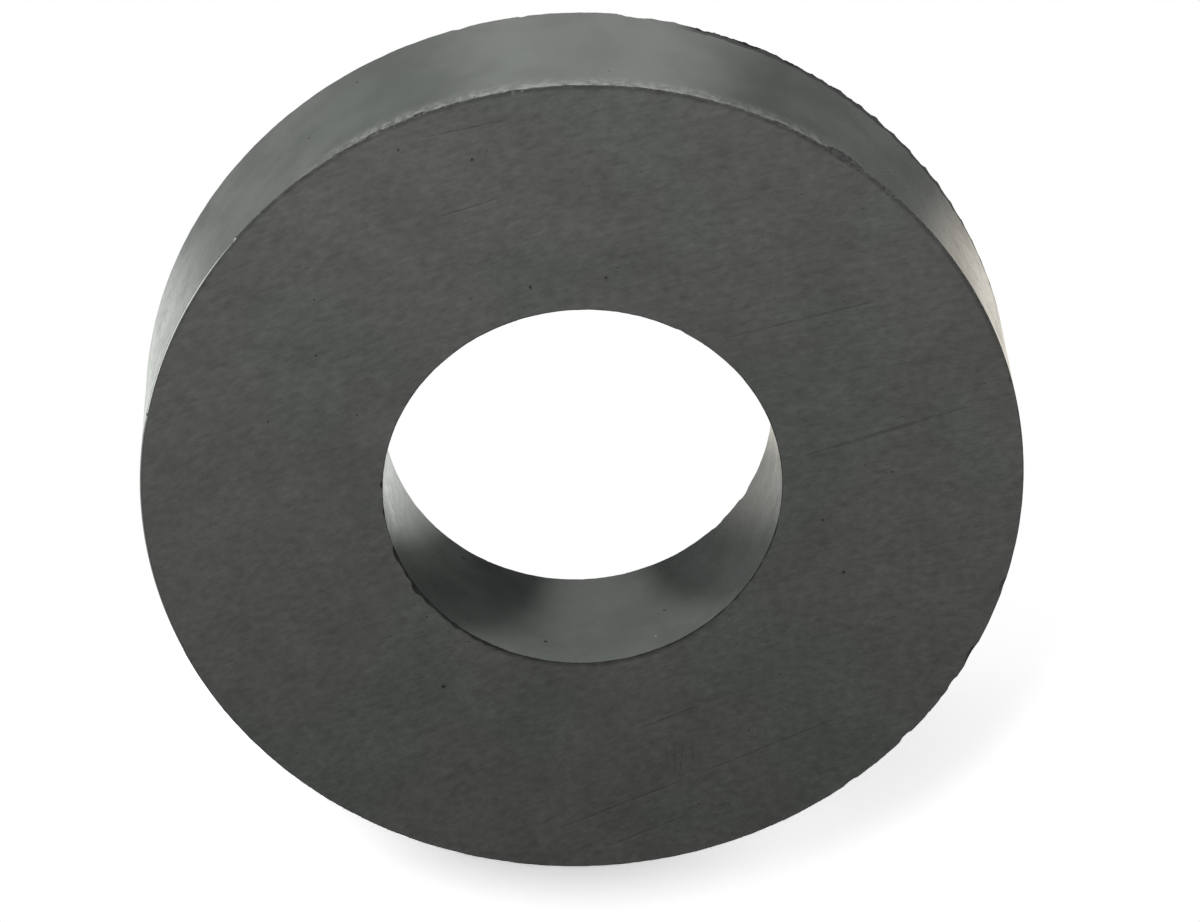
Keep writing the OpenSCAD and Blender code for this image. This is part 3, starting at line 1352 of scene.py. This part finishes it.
@dataclass
class RingMagnet:
    """The one piece of the object: a chipped ring with its three finishes."""

    ring: Ring
    edge_break: float = 0.15 * MM
    piece: bpy.types.Object | None = None

    NICKS = {
        Edge.UPPER_RIM: EdgeNicks(760, 0.62, 0.05 * MM, 0.24 * MM, 11),
        Edge.LOWER_RIM: EdgeNicks(700, 0.55, 0.05 * MM, 0.26 * MM, 12),
        Edge.UPPER_BORE: EdgeNicks(330, 0.45, 0.045 * MM, 0.18 * MM, 13),
        Edge.LOWER_BORE: EdgeNicks(330, 0.55, 0.045 * MM, 0.22 * MM, 14),
    }

    def cutter_points(self) -> bpy.types.Mesh:
        """Makes a mesh with a point for each cutter, which carries the cutter's size and turn.

        Returns:
            The mesh.
        """
        cutters = Damage().cutters(self.ring)
        mesh = bpy.data.meshes.new("cutter_points")
        mesh.from_pydata([cutter.centre for cutter in cutters], [], [])
        columns = {
            Column.HALF_SIZE: ("FLOAT_VECTOR", "vector", [c.half_size for c in cutters]),
            Column.TURN: ("FLOAT_VECTOR", "vector", [c.turn.to_euler() for c in cutters]),
            Column.RUGGED: ("FLOAT", "value", [(c.ruggedness,) for c in cutters]),
        }
        for column, (kind, part, rows) in columns.items():
            made = mesh.attributes.new(column.value, kind, "POINT")
            made.data.foreach_set(part, [number for row in rows for number in row])
        return mesh

    def build(self, ground: bpy.types.Material, fired: bpy.types.Material,
              broken: bpy.types.Material) -> bpy.types.Object:
        """Runs the ring's tree and keeps its result as a plain mesh.

        Args:
            ground: The finish of the two faces.
            fired: The finish of the rim and bore.
            broken: The finish of the chips and pores.

        Returns:
            The finished piece, at the origin.
        """
        tree = ChippedRingTree(self.NICKS).tree
        piece = bpy.data.objects.new("ferrite_ring", self.cutter_points())
        bpy.context.scene.collection.objects.link(piece)
        modifier = piece.modifiers.new("chipped ring", "NODES")
        modifier.node_group = tree
        values = {
            "Outer radius": self.ring.outer_r, "Bore radius": self.ring.bore_r,
            "Thickness": self.ring.thickness, "Edge break": self.edge_break,
            "Ground": ground, "Fired": fired, "Broken": broken,
        }
        for name, value in values.items():
            modifier[tree.interface.items_tree[name].identifier] = value
        evaluated = piece.evaluated_get(bpy.context.evaluated_depsgraph_get())
        mesh = bpy.data.meshes.new_from_object(evaluated)
        mesh.name = "ferrite_ring"
        mesh.materials.pop(index=0)
        for name in ("id", *(column.value for column in Column)):
            mesh.attributes.remove(mesh.attributes[name])
        piece.modifiers.remove(modifier)
        piece.data = mesh
        self.piece = piece
        return piece

    def dress(self) -> None:
        """Seats the piece in the frame, in place of its CAD solid."""
        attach(self.piece, BODY)
        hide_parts(NODE)


@dataclass(frozen=True)
class SoftBox:
    """A round soft light that looks at the ring."""

    name: str
    azimuth: float
    elevation: float
    distance: float
    width: float
    power: float

    def build(self, target: Vector) -> None:
        """Hangs the light.

        Args:
            target: The point that it looks at.
        """
        lamp = bpy.data.lights.new(self.name, "AREA")
        lamp.shape = "DISK"
        lamp.size = self.width
        lamp.energy = self.power
        box = bpy.data.objects.new(self.name, lamp)
        way = direction(self.azimuth, self.elevation)
        box.location = target + way * self.distance
        box.rotation_euler = way.to_track_quat("Z", "Y").to_euler()
        box.visible_camera = False
        bpy.context.scene.collection.objects.link(box)


@dataclass(frozen=True)
class Pool:
    """A soft pool of light painted on the floor on one side of the ring, which glows only in the ring's
    reflections.
    """

    azimuth: float
    spread: float
    strength: float
    colour: Colour = (0.97, 1.0, 0.955)


@dataclass(frozen=True)
class Studio:
    """A pale floor, a pale surround and soft lights."""

    floor_width: float = 2.4

    # How much light the paper gives back, to the ring and to the eye
    paper: float = 0.8
    paper_to_eye: float = 2.3

    # Where the plain paper starts to show and where it shows alone: along Y, and from the middle
    white_from: float = -10 * MM
    paper_from: float = -27 * MM
    white_beyond: float = 48 * MM
    paper_within: float = 33 * MM

    # How bright the floor's painted glow in reflections is away from the pools, and the surround for the ring
    sheen: float = 0.03
    surround: float = 0.10

    lights: tuple[SoftBox, ...] = (
        SoftBox("key_light", 128, 37, 0.10, 0.10, 0.124),
        SoftBox("right_light", 28, 34, 0.10, 0.06, 0.048),
        SoftBox("left_light", 182, 12, 0.5, 0.3, 1.3),
    )
    pools: tuple[Pool, ...] = (
        Pool(-3, 46, 0.53, (1.03, 1.0, 0.93)), Pool(9, 27, 0.60, (1.10, 1.0, 0.86)),
        Pool(60, 34, 0.24), Pool(89, 26, 0.49), Pool(125, 60, 0.41), Pool(190, 41, 1.16),
        Pool(218, 26, 0.10), Pool(277, 20, 0.50), Pool(322, 40, 0.11),
    )

    def build(self, target: Vector) -> None:
        """Sets up the floor, the surround and the lights.

        Args:
            target: The point that the lights look at.
        """
        self._floor()
        self._world()
        for light in self.lights:
            light.build(target)

    def _floor(self) -> None:
        """Lays the floor, which is white to the eye and keeps the ring's shadow."""
        half = self.floor_width / 2
        corners = [(-half, -half, 0), (half, -half, 0), (half, half, 0), (-half, half, 0)]
        mesh = bpy.data.meshes.new("floor")
        mesh.from_pydata(corners, [], [(0, 1, 2, 3)])
        mesh.materials.append(self._floor_material())
        floor = bpy.data.objects.new("floor", mesh)
        bpy.context.scene.collection.objects.link(floor)

    def _floor_material(self) -> bpy.types.Material:
        """Builds the floor's finish: pale paper, white to the eye, with a painted uneven glow that only
        reflections see.

        Returns:
            The material.
        """
        material = bpy.data.materials.new("pale_floor")
        material.use_nodes = True
        s = Steps(material.node_tree)
        s.tree.nodes.clear()
        seen, mirrored = (s.read("ShaderNodeLightPath", f"Is {way} Ray") for way in ("Camera", "Glossy"))
        place = s.read("ShaderNodeTexCoord", "Object")
        bare_paper = s.times(s.span(s.part(place, "Y"), self.white_from, self.paper_from),
                             s.span(s.vector("LENGTH", place), self.white_beyond, self.paper_within))
        level = s.maths("MULTIPLY_ADD", seen, self.paper_to_eye - self.paper, self.paper)
        paper = s.read("ShaderNodeBsdfDiffuse", "BSDF", {"Color": s.grey(level)})
        tone = s.mix(mirrored, opaque((1, 1, 1)), self._sheen(s, place))
        glow = s.read("ShaderNodeEmission", "Emission", {"Color": tone, "Strength": 1.0})
        share = s.maths("MULTIPLY_ADD", seen, s.rest(bare_paper), mirrored)
        mixed = s.read("ShaderNodeMixShader", "Shader", {0: share, 1: paper, 2: glow})
        s.add("ShaderNodeOutputMaterial", {"Surface": mixed})
        return material

    def _sheen(self, s: Steps, place: Socket) -> Socket:
        """Works out the painted glow that the floor shows in the ring's reflections.

        Args:
            s: The floor material's writer.
            place: The place on the floor.

        Returns:
            The floor's colour there, which brightens on the side of each pool.
        """
        total: Any = (self.sheen,) * 3
        for pool in self.pools:
            rise = s.span(s.facing(place, pool.azimuth), cosine(pool.spread), 1.0, 0.0, pool.strength)
            total = s.vector("ADD", total, s.scaled(pool.colour, rise))
        return total

    def _world(self) -> None:
        """Fills the surround with an even pale light, which the camera sees as white."""
        world = bpy.data.worlds.new("pale_surround")
        world.use_nodes = True
        s = Steps(world.node_tree)
        s.tree.nodes.clear()
        seen = s.read("ShaderNodeLightPath", "Is Camera Ray")
        strength = s.maths("MULTIPLY_ADD", seen, 1.0 - self.surround, self.surround)
        sky = {"Color": opaque((1, 1, 1)), "Strength": strength}
        s.add("ShaderNodeOutputWorld", {"Surface": s.read("ShaderNodeBackground", "Background", sky)})
        bpy.context.scene.world = world


@dataclass(frozen=True)
class Viewpoint:
    """The camera: where it looks, from where, and how far it is rolled about its view."""

    aim: Vector = Vector((0.95 * MM, 1.81 * MM, 10 * MM))
    azimuth: float = 94.52
    elevation: float = 62.17
    distance: float = 338.5 * MM
    roll: float = 176.0
    lens_mm: float = 180.0
    film_mm: float = 36.0
    nearest: float = 10 * MM

    def build(self) -> None:
        """Makes the scene's camera."""
        data = bpy.data.cameras.new("camera")
        data.lens = self.lens_mm
        data.sensor_width = self.film_mm
        data.clip_start = self.nearest
        camera = bpy.data.objects.new("camera", data)
        way = direction(self.azimuth, self.elevation)
        look = way.to_track_quat("Z", "Y").to_matrix()
        turned = look @ Matrix.Rotation(math.radians(self.roll), 3, "Z")
        camera.matrix_world = Matrix.LocRotScale(self.aim + way * self.distance, turned, None)
        bpy.context.scene.collection.objects.link(camera)
        bpy.context.scene.camera = camera


def main() -> None:
    """Loads the frame and builds the magnet, the studio and the camera around it."""
    logging.basicConfig(level=logging.INFO, format="%(name)s: %(message)s")
    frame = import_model()
    bpy.context.scene.view_settings.view_transform = "Standard"
    Viewpoint().build()
    ring = Ring.from_frame(frame["record"])
    sizes = (2 * ring.outer_r / MM, 2 * ring.bore_r / MM, ring.thickness / MM)
    log.info("ring of %.1f x %.1f x %.1f mm", *sizes)
    groups = ShaderGroups()
    magnet = RingMagnet(ring)
    piece = magnet.build(GroundFace().material(groups, ring),
                         FiredSkin().material(groups, ring.thickness),
                         FreshFracture().material(groups))
    magnet.dress()
    log.info("%s: %d faces on %s, in place of %s", piece.name, len(piece.data.polygons), BODY, NODE)
    Studio().build(Vector((0, 0, ring.thickness / 2)))


if __name__ == "__main__":
    main()
